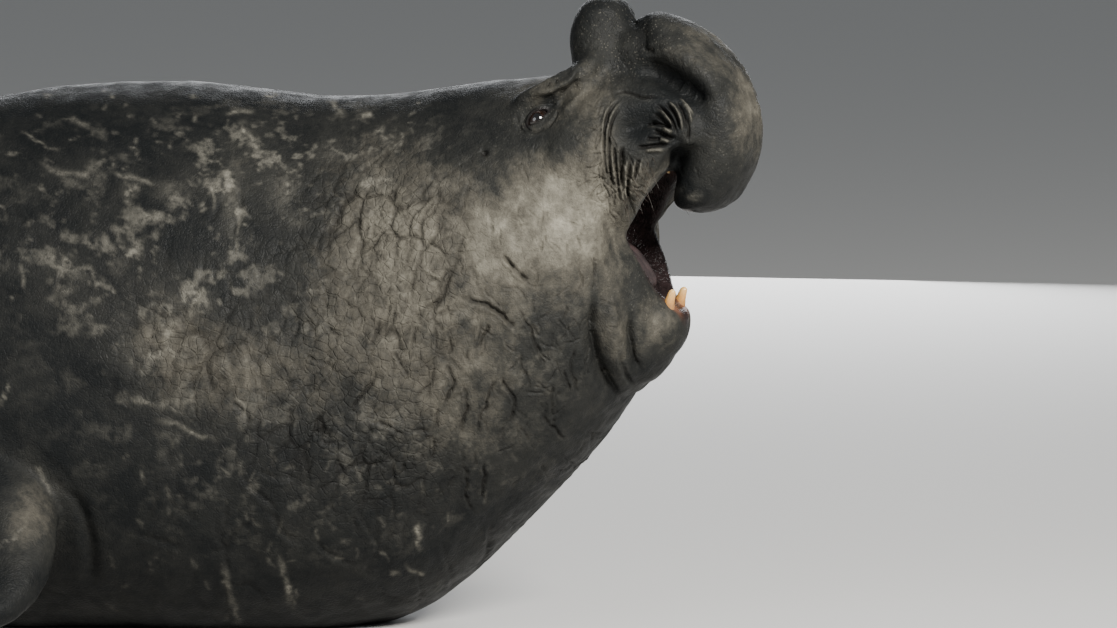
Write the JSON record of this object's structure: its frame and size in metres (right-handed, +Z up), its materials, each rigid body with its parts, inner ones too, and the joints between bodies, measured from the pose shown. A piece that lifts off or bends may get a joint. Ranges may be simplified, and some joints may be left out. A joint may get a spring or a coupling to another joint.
{
  "type": "bellowing bull southern elephant seal",
  "caption": "Life-size bull elephant seal lying on its belly, neck reared back, mouth wide open and inflated nose hooked over it.",
  "frame": {"origin": "on the floor, in the middle of the flat under the belly, level with the fore flippers", "axes": "+X along the body towards the head, +Y to the animal's left, +Z up"},
  "size_m": [5.1908, 2.172, 1.458],
  "materials": {
    "skin": "short wet fur over scarred, cracked grey-brown hide",
    "dark_skin": "damp dark grey-brown hide",
    "tongue": "wet, dark purple-brown",
    "eye": "wet, near-black",
    "tooth": "stained cream-orange enamel",
    "claw": "dark horn, worn satin"
  },
  "bodies": {
    "root": {"tail": "skin", "hips": "skin", "loins": "skin", "belly": "skin", "chest": "skin", "neck": "skin", "head": "skin", "lower_jaw": "skin", "proboscis": "dark_skin", "foreflipper_right": "dark_skin", "foreflipper_left": "dark_skin", "hindflipper_right": "dark_skin", "hindflipper_left": "dark_skin", "tongue": "tongue", "eye_right": "eye", "eye_left": "eye", "lower_canine_right": "tooth", "lower_canine_left": "tooth", "upper_canine_right": "tooth", "upper_canine_left": "tooth", "claw_right_1": "claw", "claw_right_2": "claw", "claw_right_3": "claw", "claw_right_4": "claw", "claw_right_5": "claw", "claw_left_1": "claw", "claw_left_2": "claw", "claw_left_3": "claw", "claw_left_4": "claw", "claw_left_5": "claw"}
  },
  "joints": []
}
